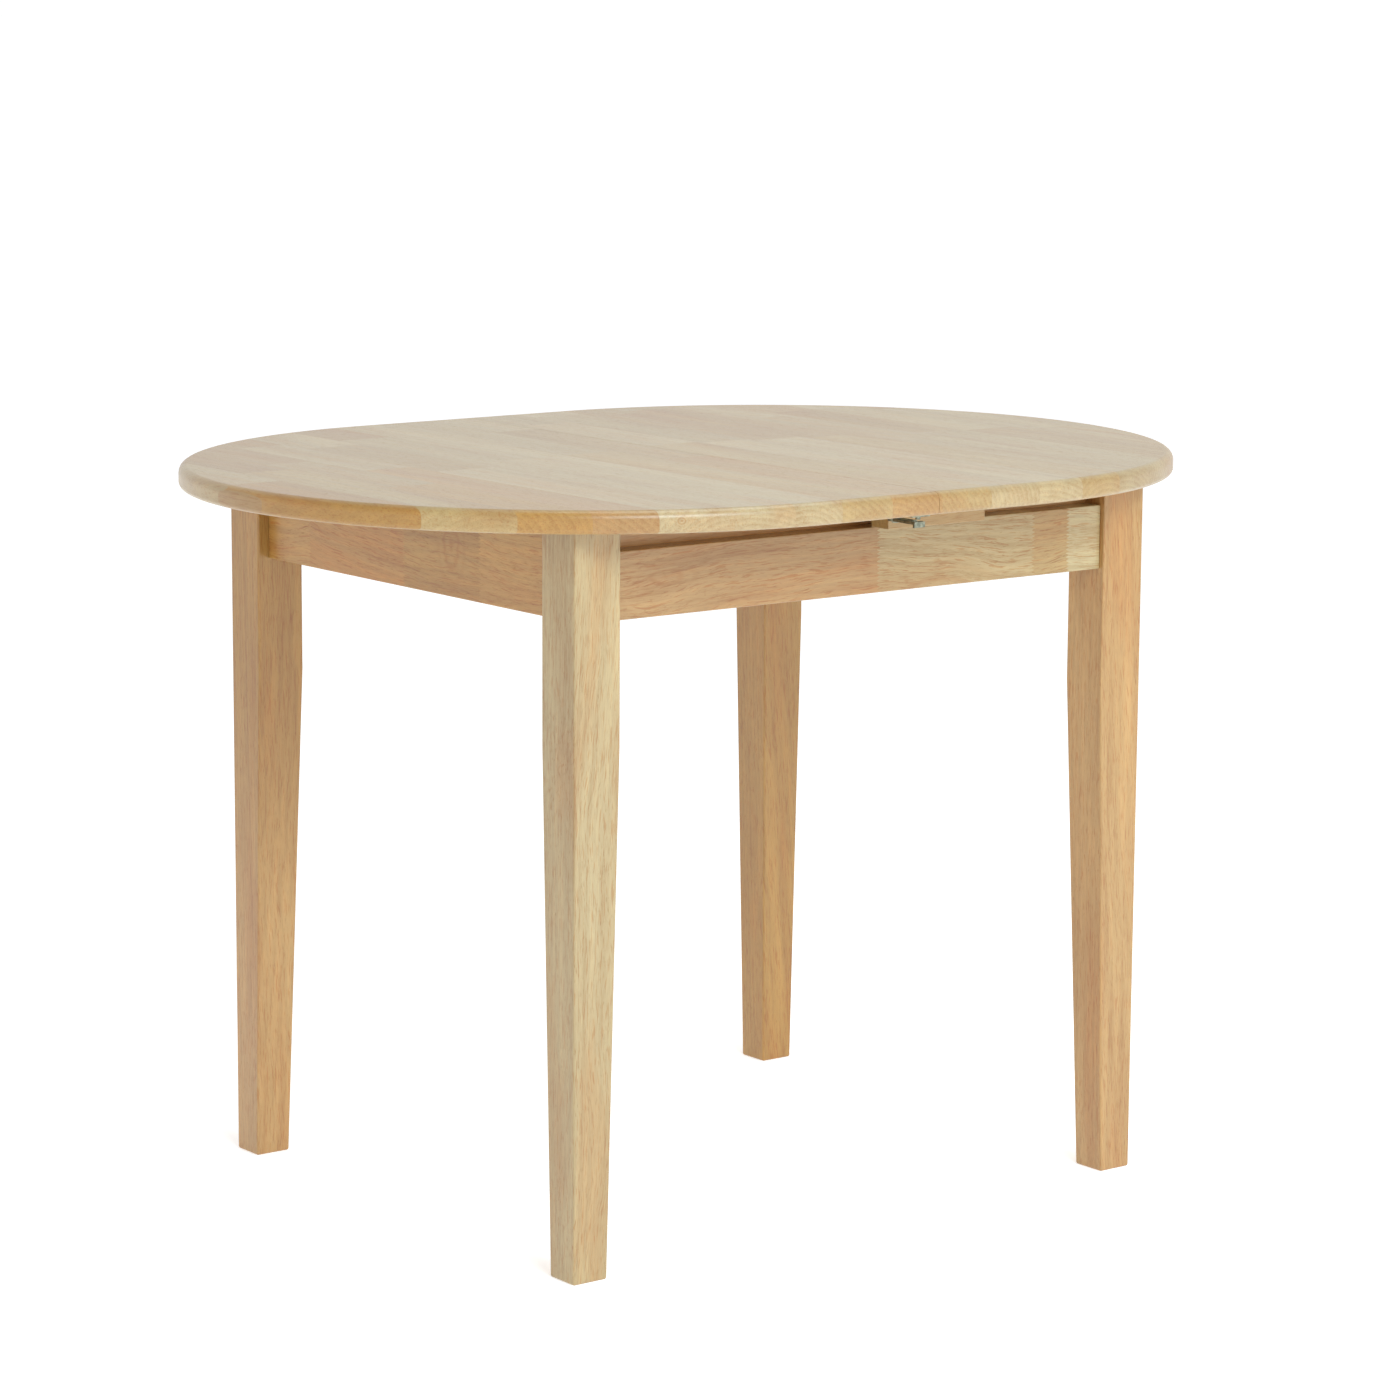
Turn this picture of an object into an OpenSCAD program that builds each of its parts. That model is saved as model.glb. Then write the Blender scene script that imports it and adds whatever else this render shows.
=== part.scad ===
// Extending dining table: an oval top in two halves that slide apart on a four-legged frame.
// +X runs along the long side, +Y towards the back, +Z up. The origin is on the floor, under the middle.

/* [Table] */
// Height of the table's upper face above the floor
table_h = 740; // [700:5:780]
// Length of the closed oval top
top_l = 1060; // [1040:5:1120]
// Width of the top
top_w = 800; // [780:5:840]
// Thickness of the top
top_t = 22; // [20:1:28]
// Radius of the rounded edge of the top
edge_r = 7; // [3:0.5:9]
// Gap that stays in the seam between the closed halves
seam_gap = 0.4; // [0.2:0.1:0.8]

/* [Frame] */
// Length of the frame over the legs
frame_l = 710; // [690:5:730]
// Width of the frame over the legs
frame_w = 604; // [590:2:620]
// Thickness of a leg at its top
leg_top = 53; // [50:1:60]
// Thickness of a leg at the floor
leg_foot = 39; // [34:1:44]
// Height where a leg's two inner faces begin to taper
taper_z = 512; // [450:10:560]
// Height of the underside of the aprons
apron_z0 = 630; // [600:5:640]
// Height of the upper edge of the long aprons
long_apron_z1 = 695; // [690:1:700]
// Thickness of a long apron
long_apron_t = 22; // [18:1:24]
// Thickness of a short apron
short_apron_t = 20; // [18:1:24]
// How far a long apron is set back from the outer faces of the legs
long_setback = 6; // [4:0.5:10]
// How far a short apron is set back from the outer faces of the legs
short_setback = 12.5; // [8:0.5:16]

/* [Slides] */
// Thickness of a bearer rail
bearer_t = 28; // [24:1:32]
// Height of the underside of a bearer rail
bearer_z0 = 650; // [646:1:660]
// Height of the guide tongue's middle
tongue_z = 698; // [696:1:700]
// Height of the runner's groove
groove_h = 8; // [7:0.5:9]
// Depth of the runner's groove
groove_d = 8.5; // [7:0.5:9]
// Free play of the guide tongue in the groove, on each side
slide_play = 0.2; // [0.1:0.05:0.4]
// Width of a runner
runner_w = 24; // [20:1:28]
// Height of a runner
runner_h = 34; // [32:1:36]
// Length of a stop block
block_l = 123; // [110:1:130]
// Width of a stop block
block_w = 26; // [22:1:30]

/* [Catches] */
// Distance from the pivot of a catch lever to the keeper's peg
catch_reach = 28; // [24:1:32]
// Diameter of the keeper's peg
peg_d = 5; // [4:0.5:6]
// Diameter of the lever's pivot rivet
pivot_d = 6; // [5:0.5:7]
// Distance of the pivots from the middle line of the table
catch_y = 352; // [345:1:360]

/* [Fasteners] */
// Diameter of the wood dowels
dowel_d = 8; // [6:1:10]
// Diameter of the hanger bolts in the corners
bolt_d = 8; // [6:1:8]
// Diameter of the wood screws
screw_d = 4; // [3.5:0.5:5]

/* [Hidden] */
$fn = 72;

wood_top = [0.87, 0.78, 0.64];
wood_frame = [0.82, 0.68, 0.50];
wood_inner = [0.72, 0.56, 0.40];
steel = [0.74, 0.74, 0.72];

// Top
top_z0 = table_h - top_t;
end_r = top_w / 2;
end_x = top_l / 2 - end_r;
seam_x = seam_gap / 2;
seam_dowel_ys = [-280, 0, 280];
seam_dowel_l = 25;
seam_dowel_play = 0.08;

// Frame: outer and inner faces, as distances from the middle
rest_gap = 0.2;
frame_z1 = top_z0 - rest_gap;
leg_out_x = frame_l / 2;
leg_out_y = frame_w / 2;
leg_in_x = leg_out_x - leg_top;
leg_in_y = leg_out_y - leg_top;
long_out_y = leg_out_y - long_setback;
long_in_y = long_out_y - long_apron_t;
short_out_x = leg_out_x - short_setback;
short_in_x = short_out_x - short_apron_t;
dowel_l = 40;
short_dowel_zs = [643, 700];
long_dowel_zs = [643, 682];

// Slides
bearer_in_y = long_in_y - bearer_t;
runner_out_y = bearer_in_y - 0.5;
runner_in_y = runner_out_y - runner_w;
runner_z0 = top_z0 - runner_h;
runner_x0 = 3;
block_x0 = 0.5;
block_x1 = block_x0 + block_l;
block_y0 = long_out_y + 2;
block_z0 = long_apron_z1 + 0.5;
travel = leg_in_x - block_x1 - 0.5;
runner_x1 = short_in_x - travel - 1;
runner_screw_xs = [runner_x0 + 17, (runner_x0 + runner_x1) / 2, runner_x1 - 17];
runner_screw_y = runner_out_y - groove_d - (runner_w - groove_d) / 2;
bearer_screw_xs = [-250, -90, 90, 250];
bearer_screw_z = 666;
block_screw_xs = [block_x0 + 28, block_x1 - 28];

// Corner braces: a brace lies across each inner corner, between two distances from it
brace_near = 20;
brace_far = 56;
brace_z0 = 632;
brace_z1 = 680;
bolt_z = 662;
bolt_x = short_in_x - 6.5;
washer_t = 1.6;
nut_t = 6.5;

// Catches
plate_t = 2;
plate_z = top_z0 - plate_t;
catch_x = catch_reach / 2;
lever_t = 2.5;
lever_z1 = 711;
lever_z0 = lever_z1 - lever_t;
lever_w = 13;
lever_end = catch_reach + 8;
slot_play = 0.3;

// A countersunk wood screw whose head is flush with z = 0 and whose shank points up
module screw_body(d, l) {
    head = d * 0.95;
    cylinder(h = l - d, d = d);
    cylinder(h = head / 2, r1 = head, r2 = d / 2);
    translate([0, 0, l - d]) cylinder(h = d, r1 = d / 2, r2 = d / 8);
}

module screw(d, l) {
    slot = d * 0.2;
    difference() {
        screw_body(d, l);
        for (turn = [0, 90]) rotate([0, 0, turn])
            translate([-d * 0.55, -slot / 2, -1]) cube([d * 1.1, slot, 1 + d * 0.22]);
    }
}

// The other long side and the other half are the same pieces, turned half round
module turned(back) {
    rotate([0, 0, back ? 180 : 0]) children();
}

// ---- Top ----
module edge_profile(r) {
    square_h = top_t - 2 * edge_r;
    translate([0, top_z0]) square([r - edge_r, top_t]);
    translate([0, top_z0 + edge_r]) square([r, square_h]);
    for (z = [top_z0 + edge_r, table_h - edge_r])
        translate([r - edge_r, z]) circle(r = edge_r);
}

// One half of the top, from the seam to the round end at +X
module half_panel() {
    intersection() {
        translate([end_x, 0, 0]) rotate_extrude($fn = 180) intersection() {
            edge_profile(end_r);
            square([end_r, table_h]);
        }
        translate([end_x, -end_r, top_z0]) cube([end_r, top_w, top_t]);
    }
    translate([seam_x, 0, 0]) rotate([90, 0, 90]) linear_extrude(end_x - seam_x) {
        edge_profile(end_r);
        mirror([1, 0]) edge_profile(end_r);
    }
}

module runner_screw_places() {
    for (x = runner_screw_xs, side = [-1, 1])
        translate([x, side * runner_screw_y, runner_z0]) children();
}

module block_screw_places() {
    for (x = block_screw_xs)
        translate([x, -(block_y0 + block_w / 2), block_z0]) children();
}

module plate_screw_places() {
    for (y = [-catch_y - 31, -catch_y + 10])
        translate([-catch_x, y, plate_z]) children();
}

module keeper_screw_places() {
    for (y = [-catch_y - 10, -catch_y + 10])
        translate([catch_x, y, plate_z]) children();
}

// Holes that both halves have: runners, block, keeper in front and catch plate at the back
module half_holes() {
    runner_screw_places() screw_body(screw_d, 45);
    block_screw_places() screw_body(screw_d, 34);
    keeper_screw_places() screw_body(3, 13);
    turned(true) plate_screw_places() screw_body(3, 13);
}

module top_half_right() {
    color(wood_top) difference() {
        half_panel();
        half_holes();
        for (y = seam_dowel_ys) translate([-1, y, top_z0 + top_t / 2]) rotate([0, 90, 0])
            cylinder(h = 1 + seam_dowel_l, d = dowel_d);
    }
}

module top_half_left() {
    color(wood_top) difference() {
        turned(true) difference() {
            half_panel();
            half_holes();
        }
        for (y = seam_dowel_ys) translate([-seam_dowel_l - 1, y, top_z0 + top_t / 2]) rotate([0, 90, 0])
            cylinder(h = 2 + seam_dowel_l, d = dowel_d + 2 * seam_dowel_play);
    }
}

module seam_dowels() {
    point = 2;
    color(wood_inner) for (y = seam_dowel_ys) translate([0, y, top_z0 + top_t / 2]) {
        rotate([0, 90, 0]) cylinder(h = seam_dowel_l, d = dowel_d);
        rotate([0, -90, 0]) cylinder(h = seam_dowel_l - point, d = dowel_d);
        translate([point - seam_dowel_l, 0, 0]) rotate([0, -90, 0])
            cylinder(h = point, d1 = dowel_d, d2 = dowel_d - 2 * point);
    }
}

// ---- Frame ----
function leg_outline(out, top, foot) =
    [[out, 0], [out, frame_z1], [out - top, frame_z1], [out - top, taper_z], [out - foot, 0]];

module dowel_places_long(sx, sy) {
    for (z = long_dowel_zs)
        translate([sx * leg_in_x - dowel_l / 2, sy * (long_out_y - long_apron_t / 2), z]) rotate([0, 90, 0])
            children();
}

module dowel_places_short(sx, sy) {
    for (z = short_dowel_zs)
        translate([sx * (short_out_x - short_apron_t / 2), sy * leg_in_y + dowel_l / 2, z]) rotate([90, 0, 0])
            children();
}

module dowel() {
    cylinder(h = dowel_l, d = dowel_d);
}

// The hanger bolt's place in a corner: z runs from the brace's inner face into the leg
module bolt_place(sx, sy) {
    back = (brace_far + (bolt_x - short_in_x) + (leg_in_y - bearer_in_y)) / 2;
    mirror([sx < 0 ? 1 : 0, 0, 0]) mirror([0, sy < 0 ? 1 : 0, 0])
        translate([bolt_x - back, leg_in_y - back, bolt_z]) rotate([0, 90, 45]) children();
}

module hanger_bolt() {
    translate([0, 0, -14]) cylinder(h = 14 + 62, d = bolt_d);
}

module leg(sx, sy) {
    color(wood_frame) difference() {
        mirror([sx < 0 ? 1 : 0, 0, 0]) mirror([0, sy < 0 ? 1 : 0, 0]) intersection() {
            translate([0, leg_out_y, 0]) rotate([90, 0, 0]) linear_extrude(leg_top)
                polygon(leg_outline(leg_out_x, leg_top, leg_foot));
            translate([leg_in_x, 0, 0]) rotate([90, 0, 90]) linear_extrude(leg_top)
                polygon(leg_outline(leg_out_y, leg_top, leg_foot));
        }
        dowel_places_long(sx, sy) dowel();
        dowel_places_short(sx, sy) dowel();
        bolt_place(sx, sy) hanger_bolt();
    }
}

module leg_front_left() { leg(-1, -1); }
module leg_front_right() { leg(1, -1); }
module leg_back_left() { leg(-1, 1); }
module leg_back_right() { leg(1, 1); }

module bearer_screw_places() {
    for (x = bearer_screw_xs)
        translate([x, -bearer_in_y, bearer_screw_z]) rotate([90, 0, 0]) children();
}

module long_apron(back) {
    color(wood_frame) turned(back) difference() {
        translate([-leg_in_x, -long_out_y, apron_z0])
            cube([2 * leg_in_x, long_apron_t, long_apron_z1 - apron_z0]);
        for (sx = [-1, 1]) dowel_places_long(sx, -1) dowel();
        bearer_screw_places() screw_body(screw_d, 44);
    }
}

module apron_front() { long_apron(false); }
module apron_back() { long_apron(true); }

module short_apron(sx) {
    color(wood_frame) difference() {
        translate([sx * (short_out_x + short_in_x) / 2 - short_apron_t / 2, -leg_in_y, apron_z0])
            cube([short_apron_t, 2 * leg_in_y, frame_z1 - apron_z0]);
        for (sy = [-1, 1]) {
            dowel_places_short(sx, sy) dowel();
            brace_screw_place(sx, sy) screw_body(screw_d, 30);
        }
    }
}

module apron_left() { short_apron(-1); }
module apron_right() { short_apron(1); }

module bearer(back) {
    tongue_h = groove_h - 2 * slide_play;
    tongue_d = groove_d - 0.5;
    color(wood_inner) turned(back) difference() {
        union() {
            translate([-leg_in_x, -long_in_y, bearer_z0]) cube([2 * leg_in_x, bearer_t, frame_z1 - bearer_z0]);
            translate([-leg_in_x, -bearer_in_y, tongue_z - tongue_h / 2])
                cube([2 * leg_in_x, tongue_d, tongue_h]);
        }
        bearer_screw_places() screw_body(screw_d, 44);
    }
}

module bearer_front() { bearer(false); }
module bearer_back() { bearer(true); }

// Brace across one corner, with the corner point where the two inner faces meet
module brace_outline(sx, sy) {
    polygon([[sx * short_in_x, sy * (bearer_in_y - brace_near)],
             [sx * short_in_x, sy * (bearer_in_y - brace_far)],
             [sx * (short_in_x - brace_far), sy * bearer_in_y],
             [sx * (short_in_x - brace_near - 1), sy * bearer_in_y]]);
}

// One screw a brace, from its inner face into the short apron
module brace_screw_place(sx, sy) {
    mirror([sx < 0 ? 1 : 0, 0, 0]) mirror([0, sy < 0 ? 1 : 0, 0])
        translate([short_in_x - 17, bearer_in_y - 37, 646]) rotate([0, 90, 0]) children();
}

module corner_brace(sx, sy) {
    color(wood_inner) difference() {
        translate([0, 0, brace_z0]) linear_extrude(brace_z1 - brace_z0) brace_outline(sx, sy);
        bolt_place(sx, sy) hanger_bolt();
        brace_screw_place(sx, sy) {
            screw_body(screw_d, 30);
            translate([0, 0, -12]) cylinder(h = 12, d = 2 * screw_d);
        }
    }
}

module corner_brace_front_left() { corner_brace(-1, -1); }
module corner_brace_front_right() { corner_brace(1, -1); }
module corner_brace_back_left() { corner_brace(-1, 1); }
module corner_brace_back_right() { corner_brace(1, 1); }

module each_corner() {
    for (sx = [-1, 1], sy = [-1, 1]) bolt_place(sx, sy) children();
}

module hanger_bolts() {
    color(steel) each_corner() hanger_bolt();
}

module bolt_washers() {
    color(steel) each_corner() translate([0, 0, -washer_t]) difference() {
        cylinder(h = washer_t, d = 20);
        translate([0, 0, -1]) cylinder(h = washer_t + 2, d = bolt_d);
    }
}

module bolt_nuts() {
    color(steel) each_corner() translate([0, 0, -washer_t - nut_t]) difference() {
        cylinder(h = nut_t, d = 15, $fn = 6);
        translate([0, 0, -1]) cylinder(h = nut_t + 2, d = bolt_d);
    }
}

module brace_screws() {
    color(steel) for (sx = [-1, 1], sy = [-1, 1]) brace_screw_place(sx, sy) screw(screw_d, 30);
}

module apron_dowels() {
    color(wood_inner) for (sx = [-1, 1], sy = [-1, 1]) {
        dowel_places_long(sx, sy) dowel();
        dowel_places_short(sx, sy) dowel();
    }
}

module bearer_screws() {
    color(steel) for (back = [false, true]) turned(back) bearer_screw_places() screw(screw_d, 44);
}

// ---- Slides ----
// Runner on the front side of the half at +X
module runner_blank() {
    difference() {
        translate([runner_x0, -runner_out_y, runner_z0])
            cube([runner_x1 - runner_x0, runner_w, runner_h]);
        translate([runner_x0 - 1, -runner_out_y - 1, tongue_z - groove_h / 2])
            cube([runner_x1 - runner_x0 + 2, groove_d + 1, groove_h]);
    }
}

module runner(sx, sy) {
    color(wood_inner) mirror([sx < 0 ? 1 : 0, 0, 0]) difference() {
        mirror([0, sy > 0 ? 1 : 0, 0]) runner_blank();
        runner_screw_places() screw_body(screw_d, 45);
    }
}

module runner_front_left() { runner(-1, -1); }
module runner_front_right() { runner(1, -1); }
module runner_back_left() { runner(-1, 1); }
module runner_back_right() { runner(1, 1); }

module stop_block(back) {
    color(wood_frame) turned(back) difference() {
        translate([block_x0, -block_y0 - block_w, block_z0])
            cube([block_l, block_w, top_z0 - block_z0]);
        block_screw_places() screw_body(screw_d, 34);
    }
}

module stop_block_front() { stop_block(false); }
module stop_block_back() { stop_block(true); }

module runner_screws_right() {
    color(steel) runner_screw_places() screw(screw_d, 45);
}

module runner_screws_left() {
    color(steel) turned(true) runner_screw_places() screw(screw_d, 45);
}

module block_screws(back) {
    color(steel) turned(back) block_screw_places() screw(screw_d, 34);
}

module block_screws_front() { block_screws(false); }
module block_screws_back() { block_screws(true); }

// ---- Catches ----
// The front catch: plate, rivet and lever on the left half, keeper on the right half
module catch_plate(back) {
    color(steel) turned(back) difference() {
        translate([-catch_x - 11, -catch_y - 38, plate_z]) cube([22, 54, plate_t]);
        plate_screw_places() screw_body(3, 13);
        translate([-catch_x, -catch_y, plate_z - 1]) cylinder(h = plate_t + 2, d = pivot_d);
    }
}

// Shouldered rivet: a spacer above the lever, a plain pivot through it and a head below it
module catch_rivet(back) {
    color(steel) turned(back) translate([-catch_x, -catch_y, 0]) {
        translate([0, 0, lever_z0 - 1.8]) cylinder(h = 1.6, d1 = 7, d2 = 10);
        translate([0, 0, lever_z0 - 0.2]) cylinder(h = top_z0 - lever_z0 + 0.2, d = pivot_d);
        translate([0, 0, lever_z1 + 0.2]) cylinder(h = plate_z - lever_z1 - 0.2, d = 11);
    }
}

// The lever hangs open, pointing at the table's edge; its hook is an arc around the pivot
module catch_lever(back) {
    slot_w = peg_d + 2 * slot_play;
    color(steel) turned(back) translate([-catch_x, -catch_y, lever_z0]) rotate([0, 0, -90]) difference() {
        union() {
            cylinder(h = lever_t, d = 15);
            translate([0, -lever_w / 2, 0]) cube([lever_end, lever_w, lever_t]);
            translate([lever_end - 2.5, -lever_w / 2, -3]) cube([2.5, lever_w, 3]);
        }
        translate([0, 0, -1]) cylinder(h = lever_t + 2, d = pivot_d + 0.1);
        translate([catch_reach, 0, -1]) cylinder(h = lever_t + 2, d = slot_w);
        intersection() {
            difference() {
                translate([0, 0, -1]) cylinder(h = lever_t + 2, r = catch_reach + slot_w / 2);
                translate([0, 0, -2]) cylinder(h = lever_t + 4, r = catch_reach - slot_w / 2);
            }
            translate([0, 0, -1]) cube([lever_end, lever_end, lever_t + 2]);
        }
    }
}

module catch_keeper(back) {
    color(steel) turned(back) difference() {
        union() {
            translate([catch_x - 9, -catch_y - 15, plate_z]) cube([18, 30, plate_t]);
            translate([catch_x, -catch_y, lever_z0 - 1]) cylinder(h = plate_z - lever_z0 + 1, d = peg_d);
        }
        keeper_screw_places() screw_body(3, 13);
    }
}

module catch_plate_front() { catch_plate(false); }
module catch_plate_back() { catch_plate(true); }
module catch_rivet_front() { catch_rivet(false); }
module catch_rivet_back() { catch_rivet(true); }
module catch_lever_front() { catch_lever(false); }
module catch_lever_back() { catch_lever(true); }
module catch_keeper_front() { catch_keeper(false); }
module catch_keeper_back() { catch_keeper(true); }

// Screws in the half at +X: its own keeper in front, its own catch plate at the back
module catch_screws(left) {
    color(steel) turned(left) {
        keeper_screw_places() screw(3, 13);
        turned(true) plate_screw_places() screw(3, 13);
    }
}

module catch_screws_right() { catch_screws(false); }
module catch_screws_left() { catch_screws(true); }

top_half_left();
top_half_right();
leg_front_left();
leg_front_right();
leg_back_left();
leg_back_right();
apron_front();
apron_back();
apron_left();
apron_right();
bearer_front();
bearer_back();
runner_front_left();
runner_front_right();
runner_back_left();
runner_back_right();
stop_block_front();
stop_block_back();
corner_brace_front_left();
corner_brace_front_right();
corner_brace_back_left();
corner_brace_back_right();
hanger_bolts();
bolt_washers();
bolt_nuts();
brace_screws();
apron_dowels();
bearer_screws();
runner_screws_left();
runner_screws_right();
block_screws_front();
block_screws_back();
seam_dowels();
catch_plate_front();
catch_rivet_front();
catch_lever_front();
catch_keeper_front();
catch_plate_back();
catch_rivet_back();
catch_lever_back();
catch_keeper_back();
catch_screws_left();
catch_screws_right();
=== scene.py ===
"""Looks for the extending oval table: pale rubberwood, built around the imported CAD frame. Metres, +Z up."""
import math

import bmesh
import bpy
from mathutils import Matrix, Vector


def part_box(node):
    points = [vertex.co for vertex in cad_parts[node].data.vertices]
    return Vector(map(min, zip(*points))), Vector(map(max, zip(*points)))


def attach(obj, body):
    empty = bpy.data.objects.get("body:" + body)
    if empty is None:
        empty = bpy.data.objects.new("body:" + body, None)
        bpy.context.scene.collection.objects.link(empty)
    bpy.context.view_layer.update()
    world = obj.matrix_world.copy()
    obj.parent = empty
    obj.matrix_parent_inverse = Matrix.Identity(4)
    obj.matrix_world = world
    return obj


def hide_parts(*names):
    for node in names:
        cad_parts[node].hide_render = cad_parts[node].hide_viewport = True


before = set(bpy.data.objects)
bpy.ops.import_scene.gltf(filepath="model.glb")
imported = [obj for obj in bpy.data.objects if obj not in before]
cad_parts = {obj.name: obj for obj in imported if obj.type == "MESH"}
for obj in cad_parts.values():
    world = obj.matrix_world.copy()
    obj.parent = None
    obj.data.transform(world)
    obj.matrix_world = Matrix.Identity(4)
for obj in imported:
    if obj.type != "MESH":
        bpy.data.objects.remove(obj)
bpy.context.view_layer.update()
X, Y, Z = 0, 1, 2
MM = 0.001


# ---- Camera, light and floor ----
def make_camera():
    """Stands in front of the table, to the left of its long side, a little above the top."""
    yaw, pitch, roll = math.radians(37.278), math.radians(9.620), math.radians(-0.321)
    distance, target, aside, lens = 4.5528, Vector((0, 0, 0.49345)), 0.00788, 115.54
    ahead = Vector((math.sin(yaw) * math.cos(pitch), math.cos(yaw) * math.cos(pitch), -math.sin(pitch)))
    level = Vector((math.cos(yaw), -math.sin(yaw), 0))
    up = level.cross(ahead)
    right = math.cos(roll) * level - math.sin(roll) * up
    up = math.sin(roll) * level + math.cos(roll) * up
    data = bpy.data.cameras.new("camera")
    data.sensor_width = 36
    data.lens = lens
    data.clip_end = 300
    camera = bpy.data.objects.new("camera", data)
    turn = Matrix((right, up, -ahead)).transposed().to_4x4()
    camera.matrix_world = Matrix.Translation(target - ahead * distance + right * aside) @ turn
    bpy.context.collection.objects.link(camera)
    bpy.context.scene.camera = camera


COOL = (0.77, 0.92, 1.0)
NEARLY_WHITE = (0.9, 0.96, 1.0)
OVERHEAD_WHITE = (0.9, 0.97, 1.0)
WARM = (1.0, 0.76, 0.2)
# Name, place, target, size, watts, colour, and whether it shows in reflections
LIGHTS = (
    ("key", (1.3, -4.6, 3.2), (0, 0, 0.5), (3.0, 2.8), 50, COOL, False),
    ("low_strip", (1.6, -4.2, 0.6), (0, 0, 0.6), (3.0, 0.7), 15, NEARLY_WHITE, False),
    ("warm_side", (-4.2, 0.3, 1.4), (0, 0, 0.4), (2.5, 1.6), 6.7, WARM, False),
    ("window_light", (-0.65, -4.4, 3.6), (0, 0, 0.7), (3.1, 1.9), 180, COOL, True),
    ("overhead", (0.7, -0.1, 3.0), (0.7, -0.1, 0), (1.9, 1.3), 20, OVERHEAD_WHITE, True))
# Heights on the sky, from 0 at the horizon to 1 overhead, and how bright it is at each
SKY_LOW, SKY_HIGH = 0.05, 0.85
LOW_STRENGTH, HIGH_STRENGTH = 1.04, 0.42
FLOOR_REACH = 60
FLOOR_GLOW = 0.45


def area_light(name, place, target, size, watts, colour, mirrored):
    data = bpy.data.lights.new(name, "AREA")
    data.shape = "RECTANGLE"
    data.size, data.size_y = size
    data.energy = watts
    data.color = colour
    light = bpy.data.objects.new(name, data)
    light.location = place
    light.rotation_euler = (Vector(target) - Vector(place)).to_track_quat("-Z", "Y").to_euler()
    light.visible_glossy = mirrored
    bpy.context.collection.objects.link(light)


def make_studio():
    """A white room, with a big soft window in front on the left and the weaker lights round it."""
    world = bpy.data.worlds.new("studio")
    bpy.context.scene.world = world
    world.use_nodes = True
    tree = world.node_tree
    background = tree.nodes["Background"]
    height = tree.nodes.new("ShaderNodeSeparateXYZ")
    tree.links.new(tree.nodes.new("ShaderNodeTexCoord").outputs["Generated"], height.inputs[0])
    fade = tree.nodes.new("ShaderNodeMapRange")
    for index, value in enumerate((SKY_LOW, SKY_HIGH, LOW_STRENGTH, HIGH_STRENGTH), 1):
        fade.inputs[index].default_value = value
    tree.links.new(height.outputs[Z], fade.inputs[0])
    tree.links.new(fade.outputs[0], background.inputs["Strength"])
    background.inputs["Color"].default_value = (1, 1, 1, 1)
    for light in LIGHTS:
        area_light(*light)
    bpy.context.scene.view_settings.view_transform = "Standard"
    mesh = bpy.data.meshes.new("floor")
    corners = [(FLOOR_REACH * x, FLOOR_REACH * y, 0) for x, y in ((-1, -1), (1, -1), (1, 1), (-1, 1))]
    mesh.from_pydata(corners, [], [(0, 1, 2, 3)])
    floor = bpy.data.objects.new("floor", mesh)
    bpy.context.collection.objects.link(floor)
    mesh.materials.append(floor_material())


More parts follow.
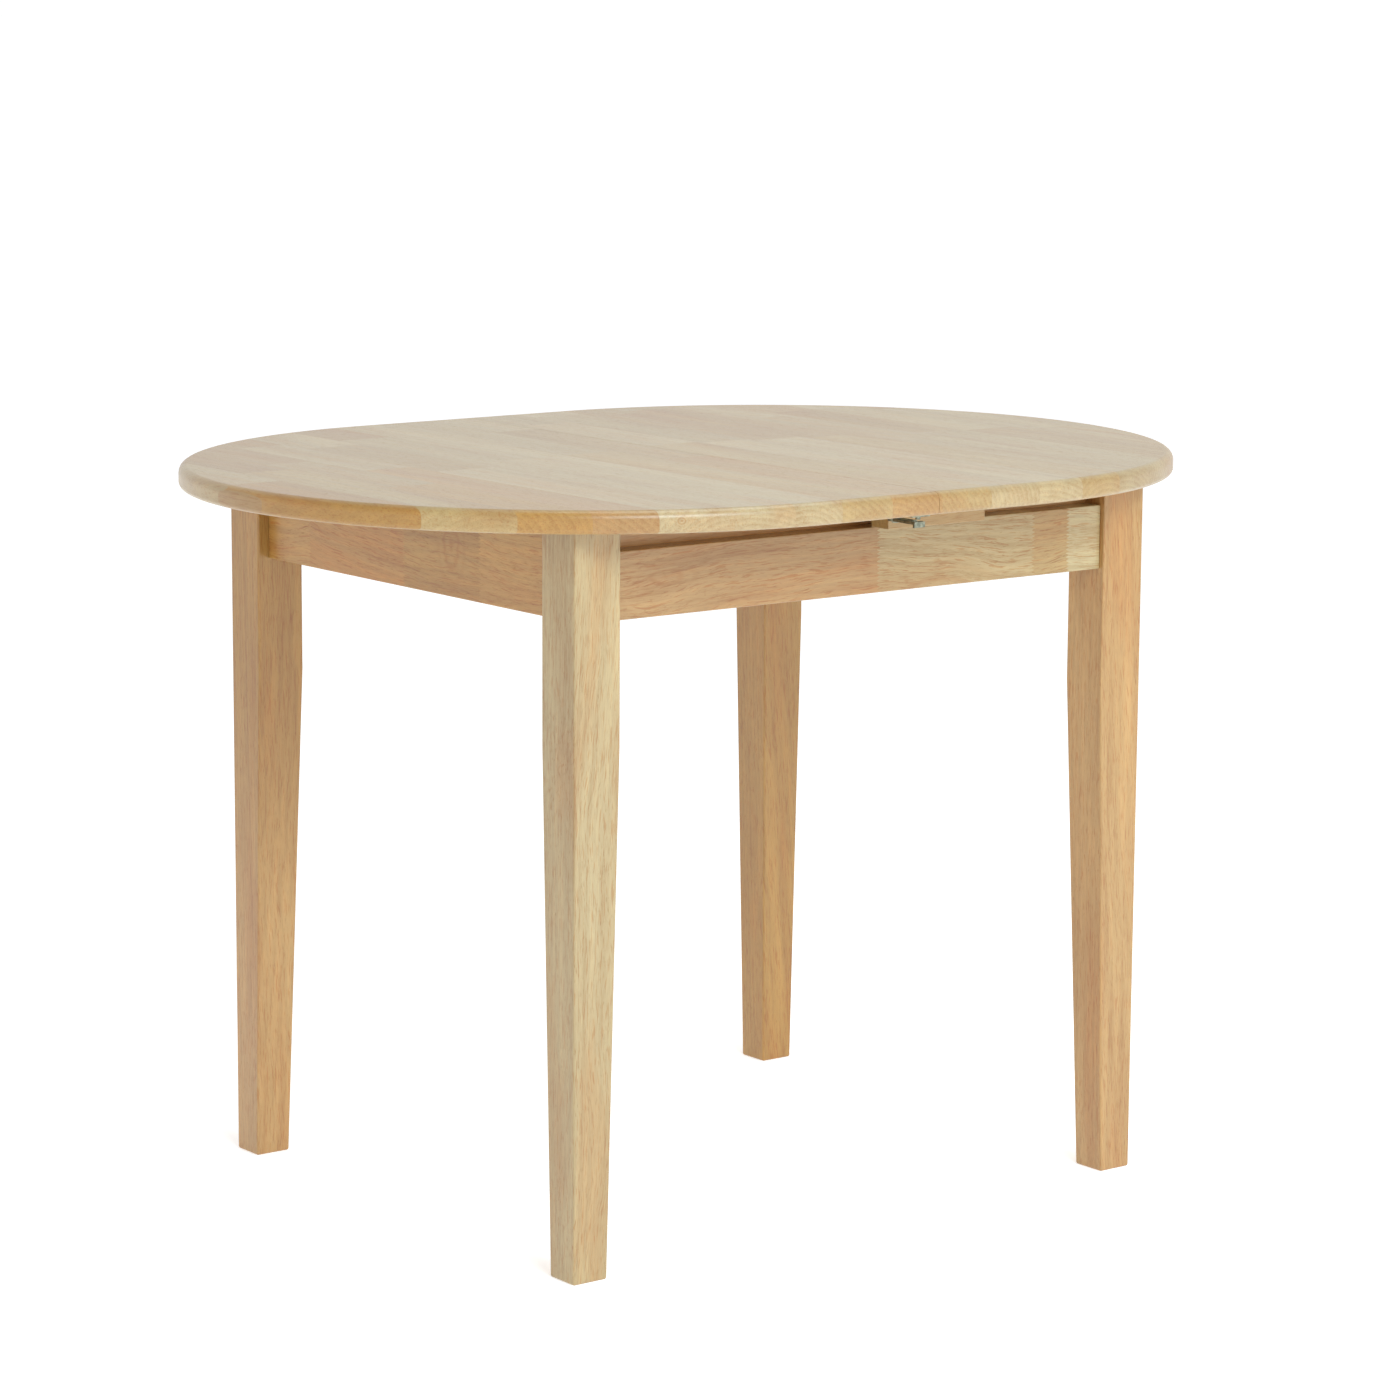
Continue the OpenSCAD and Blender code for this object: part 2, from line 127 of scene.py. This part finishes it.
# ---- Materials ----
class Nodes:
    """A material, with short names for the shader nodes that it is built from."""

    def __init__(self, name):
        self.material = bpy.data.materials.new(name)
        self.material.use_nodes = True
        self.tree = self.material.node_tree
        self.tree.nodes.clear()

    def new(self, kind, values, **settings):
        node = self.tree.nodes.new(kind)
        for key, value in settings.items():
            setattr(node, key, value)
        for key, value in values.items():
            if isinstance(value, bpy.types.NodeSocket):
                self.tree.links.new(value, node.inputs[key])
            else:
                node.inputs[key].default_value = value
        return node

    def math(self, operation, *values):
        return self.new("ShaderNodeMath", dict(enumerate(values)), operation=operation).outputs[0]

    def add(self, first, second):
        return self.math("ADD", first, second)

    def less(self, first, second):
        return self.math("SUBTRACT", first, second)

    def times(self, first, second):
        return self.math("MULTIPLY", first, second)

    def scaled(self, value, factor, plus=0.0):
        return self.math("MULTIPLY_ADD", value, factor, plus)

    def swing(self, value, size):
        """A value from 0 to 1, spread evenly round 0 over a size."""
        return self.scaled(value, size, -size / 2)

    def distance(self, first, second):
        return self.math("SQRT", self.add(self.times(first, first), self.times(second, second)))

    def combine(self, x, y, z):
        return self.new("ShaderNodeCombineXYZ", {0: x, 1: y, 2: z}).outputs[0]

    def separate(self, vector):
        return self.new("ShaderNodeSeparateXYZ", {0: vector}).outputs

    def noise(self, vector, scale=1.0, detail=2.0, rough=0.5):
        values = {"Vector": vector, "Scale": scale, "Detail": detail, "Roughness": rough, "Distortion": 0.0}
        return self.new("ShaderNodeTexNoise", values).outputs[0]

    def random(self, x, y, z):
        """Three random numbers for three given ones."""
        place = self.combine(x, y, z)
        noise = self.new("ShaderNodeTexWhiteNoise", {"Vector": place}, noise_dimensions="3D")
        return self.separate(noise.outputs["Color"])

    def step(self, value, low, high):
        """0 below low, 1 above high, and smooth between them."""
        return self.new("ShaderNodeMapRange", {0: value, 1: low, 2: high, 3: 0.0, 4: 1.0},
                        interpolation_type="SMOOTHSTEP", clamp=True).outputs[0]

    def ramp(self, factor, colours):
        node = self.new("ShaderNodeValToRGB", {0: factor})
        stops = node.color_ramp.elements
        while len(stops) < len(colours):
            stops.new(1.0)
        for i, colour in enumerate(colours):
            stops[i].position = i / (len(colours) - 1)
            stops[i].color = (*colour, 1)
        return node.outputs[0]

    def mix(self, factor, first, second, blend="MIX"):
        node = self.new("ShaderNodeMix", {}, data_type="RGBA", blend_type=blend)
        for index, value in ((0, factor), (6, first), (7, second)):
            socket = node.inputs[index]
            if isinstance(value, bpy.types.NodeSocket):
                self.tree.links.new(value, socket)
            else:
                socket.default_value = value if index == 0 else (*value, 1)
        return node.outputs[2]

    def toned(self, amount, colour, tone):
        """The colour, and where the amount is 1, the colour times the tone."""
        return self.mix(amount, colour, self.mix(1.0, colour, tone, "MULTIPLY"))

    def finish(self, colour, roughness, height=None, bump=0.0, **constants):
        values = {"Base Color": colour, "Roughness": roughness}
        if height is not None:
            values["Normal"] = self.new("ShaderNodeBump", {"Height": height, "Strength": 1.0,
                                                           "Distance": bump}).outputs[0]
        for key, value in constants.items():
            values[key.replace("_", " ")] = value
        shader = self.new("ShaderNodeBsdfPrincipled", values)
        self.new("ShaderNodeOutputMaterial", {"Surface": shader.outputs[0]})
        return self.material


def floor_material():
    nodes = Nodes("floor_paint")
    place = nodes.new("ShaderNodeTexCoord", {}).outputs["Object"]
    tone = nodes.noise(place, scale=3.0, detail=3.0)
    colour = nodes.mix(tone, (0.93, 0.93, 0.93), (0.96, 0.96, 0.96))
    return nodes.finish(colour, 0.7, Emission_Color=(1, 1, 1, 1), Emission_Strength=FLOOR_GLOW)


# Tints of the wood, from pale to brown
CREAM = (0.435, 0.325, 0.170)
PALE = (0.390, 0.297, 0.151)
OLIVE = (0.377, 0.266, 0.121)
STRAW = (0.375, 0.270, 0.130)
BLOND = (0.40, 0.27, 0.110)
SAND = (0.345, 0.215, 0.083)
HONEY = (0.39, 0.22, 0.075)
AMBER = (0.395, 0.21, 0.050)
TAN = (0.323, 0.197, 0.070)
ROSY = (0.333, 0.188, 0.069)
BURNT = (0.345, 0.180, 0.040)
# The rails' tint is painted lighter and redder than the other wood. This is painted light, standing in for
# the warm bounce light in the shaded gap between the aprons and the top
RAIL_WITH_PAINTED_LIGHT = (0.55, 0.30, 0.113)
GLUE = (0.30, 0.18, 0.09)

# What marks in the wood do to its tint
REDDER = (0.95, 0.84, 0.74)
PALER = (1.03, 1.07, 1.12)
BROWNER = (0.84, 0.60, 0.38)
DEEPER = (1.0, 0.86, 0.66)
END_TONE = (0.89, 0.86, 0.82)

# How often each kind of mark changes along the grain and across it, per metre
FIGURE = (1.8, 26.0)
PATCH = (3.2, 26.0)
STREAK = (6.0, 150.0)
LINE = (46.0, 700.0)
FIBRE = (75.0, 1000.0)
PORE = (130.0, 1100.0)
SLOW_WAVE, QUICK_WAVE = (4.0, 9.0), (26.0, 60.0)

# The noise or level at which each mark starts, and at which it is complete
LINE_STEP, PORE_STEP = (0.52, 0.64), (0.63, 0.72)
RED_STEP, PALE_STEP = (0.50, 0.70), (0.48, 0.30)
DEEP_STEP = (1.02, 0.78)
END_FACING = (0.45, 0.85)

# How much the marks darken the wood, and how even it is without them
FIGURE_DEPTH, STREAK_DEPTH, FIBRE_DEPTH, PORE_DEPTH = 0.30, 0.34, 0.22, 0.10
FACE_RING_DEPTH, END_RING_DEPTH = 0.045, 0.045
MARKS_MEAN = -0.43
BASE_LEVEL = 1.06
PATCH_STRENGTH, LINE_STRENGTH, DEEP_STRENGTH = 0.75, 0.50, 0.85

# Growth rings: where the pith may be, in metres, and how each ring darkens and ends
PITH_ASIDE, PITH_DEPTH, PITH_NEAREST = 0.16, 0.12, 0.004
RING_WIDTH, RING_BEND, TAPER = 0.0055, 0.3, 0.05
RING_RISE, RING_FALL = (0.1, 0.8), (1.0, 0.9)
SWIRL_TURNS, SWIRL_RAGGED, SWIRL_FADE = 3.4, 1.8, (1.6, 0.6)

# How far the grain leans and waves, and the size of the joints' fingers
SLOPE, SLOW_SWING, QUICK_SWING = 0.20, 0.034, 0.0034
FINGER_DEPTH, FINGER_PITCH = 0.0045, 0.0038

# Lacquer and relief
LACQUER_ROUGH, ROUGH_SWING, PORE_ROUGH = 0.40, 0.12, 0.15
COAT, COAT_ROUGH = 0.5, 0.27
FIBRE_HEIGHT, LINE_HEIGHT, WOOD_BUMP = 0.3, 0.3, 0.00008


class Wood(Nodes):
    """Rubberwood with its grain along one axis, worked out in the solid, so that faces and ends agree."""

    def __init__(self, name, along, across, middle):
        super().__init__(name)
        self.coordinates = self.new("ShaderNodeTexCoord", {}).outputs
        from_middle = self.new("ShaderNodeVectorMath", {0: self.coordinates["Object"], 1: middle},
                               operation="SUBTRACT")
        xyz = self.separate(from_middle.outputs[0])
        thick = ({X, Y, Z} - {along, across}).pop()
        self.along = along
        self.length, self.width, self.thick = xyz[along], xyz[across], xyz[thick]

    def pick(self, value, pieces):
        """The tint and the start of the piece that a value falls in. Pieces are (start, tint) pairs."""
        start, colour = pieces[0]
        for (before, _), (place, tint) in zip(pieces, pieces[1:]):
            past = self.math("GREATER_THAN", value, place)
            start = self.scaled(past, place - before, start)
            colour = self.mix(past, colour, tint)
        return colour, start

    def fingered(self):
        """The place along the grain, moved to and fro across it, so that a joint cut there has fingers."""
        wave = self.math("PINGPONG", self.scaled(self.width, 2 / FINGER_PITCH), 1.0)
        return self.add(self.length, self.swing(wave, FINGER_DEPTH))

    def grain(self, numbers, often, bend=None, **noise):
        """Noise drawn out along the grain, at a place that a piece's own numbers shift."""
        along, across = often
        width = self.width if bend is None else self.add(self.width, bend)
        spot = self.combine(self.add(self.scaled(self.length, along), self.scaled(numbers[0], 37.0)),
                            self.add(self.scaled(width, across), self.scaled(numbers[1], 41.0)),
                            self.add(self.scaled(self.thick, across), self.scaled(numbers[2], 43.0)))
        return self.noise(spot, **noise)

    def waviness(self, own, amount):
        slow = self.swing(self.grain(own, SLOW_WAVE), SLOW_SWING)
        quick = self.swing(self.grain(own, QUICK_WAVE), QUICK_SWING)
        return self.scaled(self.add(slow, quick), amount)

    def rings(self, own, other, bend, centre):
        """Growth rings round a pith beside or below the piece: arcs on ends, long figures on faces."""
        aside = self.add(self.less(centre, self.swing(own[1], PITH_ASIDE)), self.scaled(bend, RING_BEND))
        below = self.add(self.thick, self.scaled(own[2], PITH_DEPTH, PITH_NEAREST))
        taper = self.times(self.length, self.swing(other[0], TAPER))
        far = self.add(self.distance(aside, below), taper)
        turn = self.math("FRACT", self.scaled(far, 1 / RING_WIDTH))
        return self.times(self.step(turn, *RING_RISE), self.step(turn, *RING_FALL))

    def end_grain(self):
        facing = self.math("ABSOLUTE", self.separate(self.coordinates["Normal"])[self.along])
        return self.step(facing, *END_FACING)

    def swirl(self, first, second, place, size, streak):
        """Darker rings round one spot, such as a knot or a pith, which fade out from it."""
        aside = self.scaled(first, 1 / size[0], -place[0] / size[0])
        above = self.scaled(second, 1 / size[1], -place[1] / size[1])
        far = self.distance(aside, above)
        ragged = self.add(self.scaled(far, SWIRL_TURNS), self.scaled(streak, SWIRL_RAGGED))
        loop = self.math("PINGPONG", ragged, 1.0)
        return self.times(self.step(loop, 0.2, 1.0), self.step(far, *SWIRL_FADE))

    def lacquered(self, tint, own, other, centre, contrast=1.0, wave=1.0, swirls=(), piths=()):
        """Grain, pores, end grain and lacquer on a tint. own and other are six numbers of the piece."""
        slope = self.times(self.length, self.swing(other[1], SLOPE * wave))
        bend = self.add(self.waviness(own, wave), slope)
        figure = self.grain(own, FIGURE, bend)
        patch = self.grain(other, PATCH, bend)
        streak = self.grain(other, STREAK, bend, detail=3.0, rough=0.6)
        line = self.step(self.grain(own, LINE, bend, detail=3.0, rough=0.6), *LINE_STEP)
        fibre = self.grain(other, FIBRE)
        pore = self.step(self.grain(own, PORE, bend, detail=1.0), *PORE_STEP)
        ring = self.rings(own, other, bend, centre)
        end = self.end_grain()

        level = self.add(self.scaled(figure, FIGURE_DEPTH), self.scaled(streak, STREAK_DEPTH))
        level = self.add(level, self.scaled(fibre, FIBRE_DEPTH, MARKS_MEAN))
        level = self.less(level, self.scaled(pore, PORE_DEPTH))
        level = self.less(level, self.times(ring, self.scaled(end, END_RING_DEPTH, FACE_RING_DEPTH)))
        level = self.scaled(level, contrast, BASE_LEVEL)
        colour = self.mix(1.0, tint, self.combine(level, level, level), "MULTIPLY")
        for limits, tone in ((RED_STEP, REDDER), (PALE_STEP, PALER)):
            amount = self.scaled(self.step(patch, *limits), PATCH_STRENGTH * contrast)
            colour = self.toned(amount, colour, tone)
        brown = self.scaled(line, LINE_STRENGTH * contrast)
        marks = [(self.length, self.width, mark) for mark in swirls]
        marks += [(self.width, self.thick, mark) for mark in piths]
        for first, second, (place, size, strength) in marks:
            mark = self.swirl(first, second, place, size, streak)
            brown = self.math("MAXIMUM", brown, self.scaled(mark, strength))
        colour = self.toned(brown, colour, BROWNER)
        colour = self.toned(self.scaled(self.step(level, *DEEP_STEP), DEEP_STRENGTH), colour, DEEPER)
        colour = self.toned(end, colour, END_TONE)

        rough = self.scaled(streak, ROUGH_SWING, LACQUER_ROUGH - ROUGH_SWING / 2)
        rough = self.add(rough, self.scaled(pore, PORE_ROUGH))
        height = self.less(self.scaled(fibre, FIBRE_HEIGHT), self.add(pore, self.scaled(line, LINE_HEIGHT)))
        return self.finish(colour, rough, height, WOOD_BUMP, Coat_Weight=COAT, Coat_Roughness=COAT_ROUGH)

    def own_numbers(self, first, second, seed):
        return self.random(first, second, seed), self.random(second, first, seed + 0.37)


def solid_wood(name, along, across, middle, tints, seed, **grain):
    """One length of wood, such as a leg or a rail, which turns from one tint to another on the way."""
    nodes = Wood(name, along, across, middle)
    own, other = nodes.own_numbers(0.5, 0.5, seed)
    tint = nodes.mix(nodes.step(nodes.length, -0.2, 0.2), *tints)
    return nodes.lacquered(tint, own, other, nodes.width, **grain)


def jointed_wood(name, along, across, middle, tints, seed, **grain):
    """A board of lengths that are finger-jointed end to end."""
    nodes = Wood(name, along, across, middle)
    tint, start = nodes.pick(nodes.fingered(), tints)
    own, other = nodes.own_numbers(start, 0.5, seed)
    return nodes.lacquered(tint, own, other, nodes.width, **grain)


def stave_wood(name, along, across, middle, staves, tints, seed, **grain):
    """A panel of staves side by side, each of three lengths. Staves are (start, front tint) pairs."""
    glue_width, glue_fade, glue_strength = 0.0003, 0.0012, 0.12
    first_from, first_spread = -0.09, 0.22
    second_after, second_spread = 0.22, 0.14
    face_strength, face_level, edge_level = 0.60, 0.95, 0.60
    nodes = Wood(name, along, across, middle)
    front_tint, start = nodes.pick(nodes.width, staves)
    inside = nodes.less(nodes.width, start)
    shift = nodes.random(start, seed, 0.5)
    run = nodes.fingered()
    first_cut = nodes.scaled(shift[0], first_spread, first_from)
    second_cut = nodes.add(first_cut, nodes.scaled(shift[1], second_spread, second_after))
    past_first = nodes.math("GREATER_THAN", run, first_cut)
    number = nodes.add(past_first, nodes.math("GREATER_THAN", run, second_cut))
    own, other = nodes.own_numbers(start, number, seed)
    tint = nodes.mix(past_first, front_tint, nodes.ramp(other[2], tints))
    level = nodes.math("ABSOLUTE", nodes.separate(nodes.coordinates["Normal"])[Z])
    edge = nodes.step(level, face_level, edge_level)
    tint = nodes.mix(nodes.scaled(edge, 1 - face_strength, face_strength), STRAW, tint)
    tint = nodes.mix(nodes.scaled(nodes.step(inside, glue_fade, glue_width), glue_strength), tint, GLUE)
    return nodes.lacquered(tint, own, other, inside, **grain)


def metal(name, colour, roughness, worn):
    """Zinc-plated steel: a fine brushed grain, cloudy plating and duller worn spots."""
    along, across, zinc_bump = 300.0, 4000.0, 0.00002
    nodes = Nodes(name)
    place = nodes.new("ShaderNodeTexCoord", {}).outputs["Object"]
    xyz = nodes.separate(place)
    brushed = nodes.noise(nodes.combine(nodes.scaled(xyz[X], along), nodes.scaled(xyz[Y], across),
                                        nodes.scaled(xyz[Z], across)))
    cloud = nodes.noise(place, scale=180.0, detail=4.0)
    tint = nodes.mix(nodes.step(cloud, 0.35, 0.7), colour, tuple(c * worn for c in colour))
    rough = nodes.add(nodes.scaled(brushed, 0.15, roughness - 0.08), nodes.scaled(cloud, 0.12))
    return nodes.finish(tint, rough, brushed, zinc_bump, Metallic=1.0)


# ---- Pieces ----
def finish_mesh(name, work, material, body, node, bevel, segments=3, cutter=None):
    """Turns a bmesh into a piece with rounded edges, which rides on a body and stands for a CAD node."""
    bevel_from, smooth_below = math.radians(20), math.radians(50)
    mesh = bpy.data.meshes.new(name)
    bmesh.ops.recalc_face_normals(work, faces=work.faces)
    if bevel:
        sharp = [e for e in work.edges if len(e.link_faces) == 2 and e.calc_face_angle() > bevel_from]
        bmesh.ops.bevel(work, geom=sharp, offset=bevel, offset_type="OFFSET", segments=segments,
                        profile=0.5, affect="EDGES", clamp_overlap=True)
    if cutter:
        work = cut_out(work, cutter)
    for face in work.faces:
        face.smooth = True
    for edge in work.edges:
        edge.smooth = len(edge.link_faces) != 2 or edge.calc_face_angle() < smooth_below
    work.to_mesh(mesh)
    work.free()
    mesh.materials.append(material)
    piece = bpy.data.objects.new(name, mesh)
    bpy.context.collection.objects.link(piece)
    weighted = piece.modifiers.new("normals", "WEIGHTED_NORMAL")
    weighted.keep_sharp = True
    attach(piece, body)
    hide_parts(node)


def join_rings(work, rings):
    """Faces between closed rings of points, and one over each end."""
    count = len(rings[0])
    for below, above in zip(rings, rings[1:]):
        for i in range(count):
            work.faces.new((below[i], below[(i + 1) % count], above[(i + 1) % count], above[i]))
    work.faces.new(list(reversed(rings[0])))
    work.faces.new(rings[-1])


def box_piece(node, body, material, bevel):
    low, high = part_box(node)
    work = bmesh.new()
    rings = []
    for level in (low[Z], high[Z]):
        corners = ((low[X], low[Y]), (high[X], low[Y]), (high[X], high[Y]), (low[X], high[Y]))
        rings.append([work.verts.new((x, y, level)) for x, y in corners])
    join_rings(work, rings)
    finish_mesh(node + "_wood", work, material, body, node, bevel)


def leg(node, material):
    """Square at the top, and tapered on the two inward faces, from below the aprons to the floor."""
    low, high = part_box(node)
    foot, taper_z, rounding = 39 * MM, 512 * MM, 2.2 * MM
    side_x, side_y = (1 if low[X] > 0 else -1), (1 if low[Y] > 0 else -1)
    outer_x = max(abs(low[X]), abs(high[X]))
    outer_y = max(abs(low[Y]), abs(high[Y]))
    top = high[X] - low[X]
    work = bmesh.new()
    rings = []
    for level, size in ((0.0, foot), (taper_z, top), (high[Z], top)):
        corners = ((outer_x, outer_y), (outer_x - size, outer_y), (outer_x - size, outer_y - size),
                   (outer_x, outer_y - size))
        rings.append([work.verts.new((side_x * x, side_y * y, level)) for x, y in corners])
    join_rings(work, rings)
    finish_mesh(node + "_wood", work, material, "frame", node, rounding, 4)


def dowel_holes(height):
    """What is cut out of the left half's seam face, for the dowels that stand out of the right half."""
    radius, depth = 4.08 * MM, 26.2 * MM
    work = bmesh.new()
    for y in (-0.280, 0.0, 0.280):
        lying = Matrix.Translation((0, y, height)) @ Matrix.Rotation(math.radians(90), 4, "Y")
        bmesh.ops.create_cone(work, cap_ends=True, segments=32, radius1=radius, radius2=radius,
                              depth=2 * depth, matrix=lying)
    return work


def cut_out(work, cutter):
    """Takes one bmesh out of another, and returns what is left."""
    made = []
    for name, shape in (("blank", work), ("cutter", cutter)):
        mesh = bpy.data.meshes.new(name)
        shape.to_mesh(mesh)
        shape.free()
        made.append(bpy.data.objects.new(name, mesh))
        bpy.context.collection.objects.link(made[-1])
    blank, tool = made
    cut = blank.modifiers.new("cut", "BOOLEAN")
    cut.operation = "DIFFERENCE"
    cut.solver = "EXACT"
    cut.object = tool
    left = bmesh.new()
    left.from_object(blank, bpy.context.evaluated_depsgraph_get())
    for thing in made:
        bpy.data.meshes.remove(thing.data)
    return left


def fall(radius, near):
    """How far a rounded edge has drawn in, at a distance from the face that it runs into."""
    if near >= radius:
        return 0.0
    return radius - math.sqrt(max(0.0, radius ** 2 - (radius - near) ** 2))


def top_half(side, material):
    """Half of the oval top: rounded all round its edge, and only eased along the seam."""
    over, under, ease = 9 * MM, 5 * MM, 0.3 * MM
    arc_steps, straight_steps = 72, 6
    node = "top_half_" + ("right" if side > 0 else "left")
    low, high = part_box(node)
    seam = min(abs(low[X]), abs(high[X]))
    radius = high[Y]
    centre = max(abs(low[X]), abs(high[X])) - radius
    thickness = high[Z] - low[Z]

    def rise(r, count):
        return [r * math.sin(math.radians(90) * i / count) for i in range(count + 1)]

    levels = {under - z for z in rise(under, 6)} | {thickness - over + z for z in rise(over, 9)}
    for part in (0, 0.3, 1):
        levels |= {ease * part, thickness - ease * part}
    levels = sorted({round(z, 7) for z in levels})

    work = bmesh.new()
    rings = []
    for z in levels:
        r = radius - max(fall(under, z), fall(over, thickness - z))
        start = seam + fall(ease, min(z, thickness - z))
        straight = [start + (centre - start) * i / straight_steps for i in range(straight_steps)]
        angles = [math.pi * i / arc_steps for i in range(arc_steps + 1)]
        outline = [(x, -r) for x in straight]
        outline += [(centre + r * math.sin(angle), -r * math.cos(angle)) for angle in angles]
        outline += [(x, r) for x in reversed(straight)]
        rings.append([work.verts.new((side * x, side * y, low[Z] + z)) for x, y in outline])
    join_rings(work, rings)
    body = "top_right" if side > 0 else "top_left"
    holes = dowel_holes(low[Z] + thickness / 2) if side < 0 else None
    finish_mesh(node + "_wood", work, material, body, node, 0, cutter=holes)


def middle_of(node):
    low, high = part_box(node)
    return [(low[i] + high[i]) / 2 for i in (X, Y, Z)]


make_camera()
make_studio()

# Where each stave of the top starts in X, and its tint at the front edge
STAVES = [(-0.600, BLOND), (-0.528, BURNT), (-0.4665, BLOND), (-0.4085, AMBER), (-0.355, HONEY),
          (-0.302, CREAM), (-0.2345, CREAM), (-0.172, CREAM), (-0.118, BLOND), (-0.0575, HONEY),
          (0.004, BLOND), (0.0655, CREAM), (0.1265, CREAM), (0.186, BLOND), (0.2475, STRAW),
          (0.309, STRAW), (0.3705, SAND), (0.432, STRAW), (0.4935, STRAW)]
STAVE_TINTS = [ROSY, SAND, STRAW, STRAW, CREAM]
# Each leg's tints, at its foot and at its top
LEG_TINTS = {"front_left": (STRAW, STRAW), "front_right": (HONEY, HONEY),
             "back_left": (HONEY, BURNT), "back_right": (BURNT, BURNT)}
# Where each length of an apron starts, from its middle, and its tint
APRON_JOINTS = {"front": [(-0.4, ROSY), (0.012, OLIVE), (0.212, TAN), (0.258, PALE)],
                "back": [(-0.4, SAND), (-0.17, ROSY), (0.09, STRAW), (0.24, SAND)],
                "left": [(-0.4, AMBER), (-0.13, BURNT), (0.0, AMBER), (0.17, AMBER)],
                "right": [(-0.4, SAND), (-0.06, HONEY), (0.15, TAN)]}
# Marks in the grain: place, size and strength
APRON_SWIRLS = {"front": [((0.090, -0.036), (0.062, 0.018), 0.55),
                          ((-0.245, 0.004), (0.030, 0.010), 0.45)],
                "left": [((-0.082, 0.006), (0.019, 0.034), 0.6)]}
TOP_PITHS = [((-0.283, 0.001), (0.0052, 0.0046), 0.8)]
APRON_ROUNDING, BLOCK_ROUNDING = 1.2 * MM, 1.0 * MM

# Nodes that a piece made here stands for, and the other wooden ones. The rest are metal
MADE_HERE = ("top_half", "leg_", "apron_front", "apron_back", "apron_left", "apron_right", "stop_block")
OTHER_WOOD = ("bearer_front", "bearer_back", "runner_front", "runner_back", "corner_", "apron_dowels",
              "seam_")

top_middle = (0, 0, middle_of("top_half_left")[Z])
top_wood = stave_wood("top_staves", Y, X, top_middle, STAVES, STAVE_TINTS, 5.0,
                      contrast=1.1, wave=0.6, piths=TOP_PITHS)
# Bearers, runners, corner blocks, dowels and seam pieces all take this rail wood, with the painted light in
# its tint
rail_wood_with_painted_light = solid_wood("rail_grain_with_painted_light", X, Z, middle_of("bearer_front"), (RAIL_WITH_PAINTED_LIGHT, RAIL_WITH_PAINTED_LIGHT), 23.0)
zinc = metal("zinc", (0.36, 0.37, 0.28), 0.32, 0.5)

for half_side in (-1, 1):
    top_half(half_side, top_wood)
for number, (corner, tints) in enumerate(LEG_TINTS.items()):
    node = "leg_" + corner
    leg(node, solid_wood(node + "_grain", Z, X, middle_of(node), tints, 11.0 + number, contrast=1.5))
for number, (side, joints) in enumerate(APRON_JOINTS.items()):
    node = "apron_" + side
    along, wave = (X, 1.6) if side in ("front", "back") else (Y, 1.2)
    apron_wood = jointed_wood(node + "_grain", along, Z, middle_of(node), joints, 31.0 + number,
                              contrast=1.7, wave=wave, swirls=APRON_SWIRLS.get(side, ()))
    box_piece(node, "frame", apron_wood, APRON_ROUNDING)
for number, (side, body) in enumerate((("front", "top_right"), ("back", "top_left"))):
    node = "stop_block_" + side
    block_wood = solid_wood(node + "_grain", X, Z, middle_of(node), (BLOND, BLOND), 41.0 + number)
    box_piece(node, body, block_wood, BLOCK_ROUNDING)

for node_name, node_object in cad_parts.items():
    if node_name.startswith(MADE_HERE):
        continue
    for slot_place in node_object.material_slots:
        slot_place.material = rail_wood_with_painted_light if node_name.startswith(OTHER_WOOD) else zinc
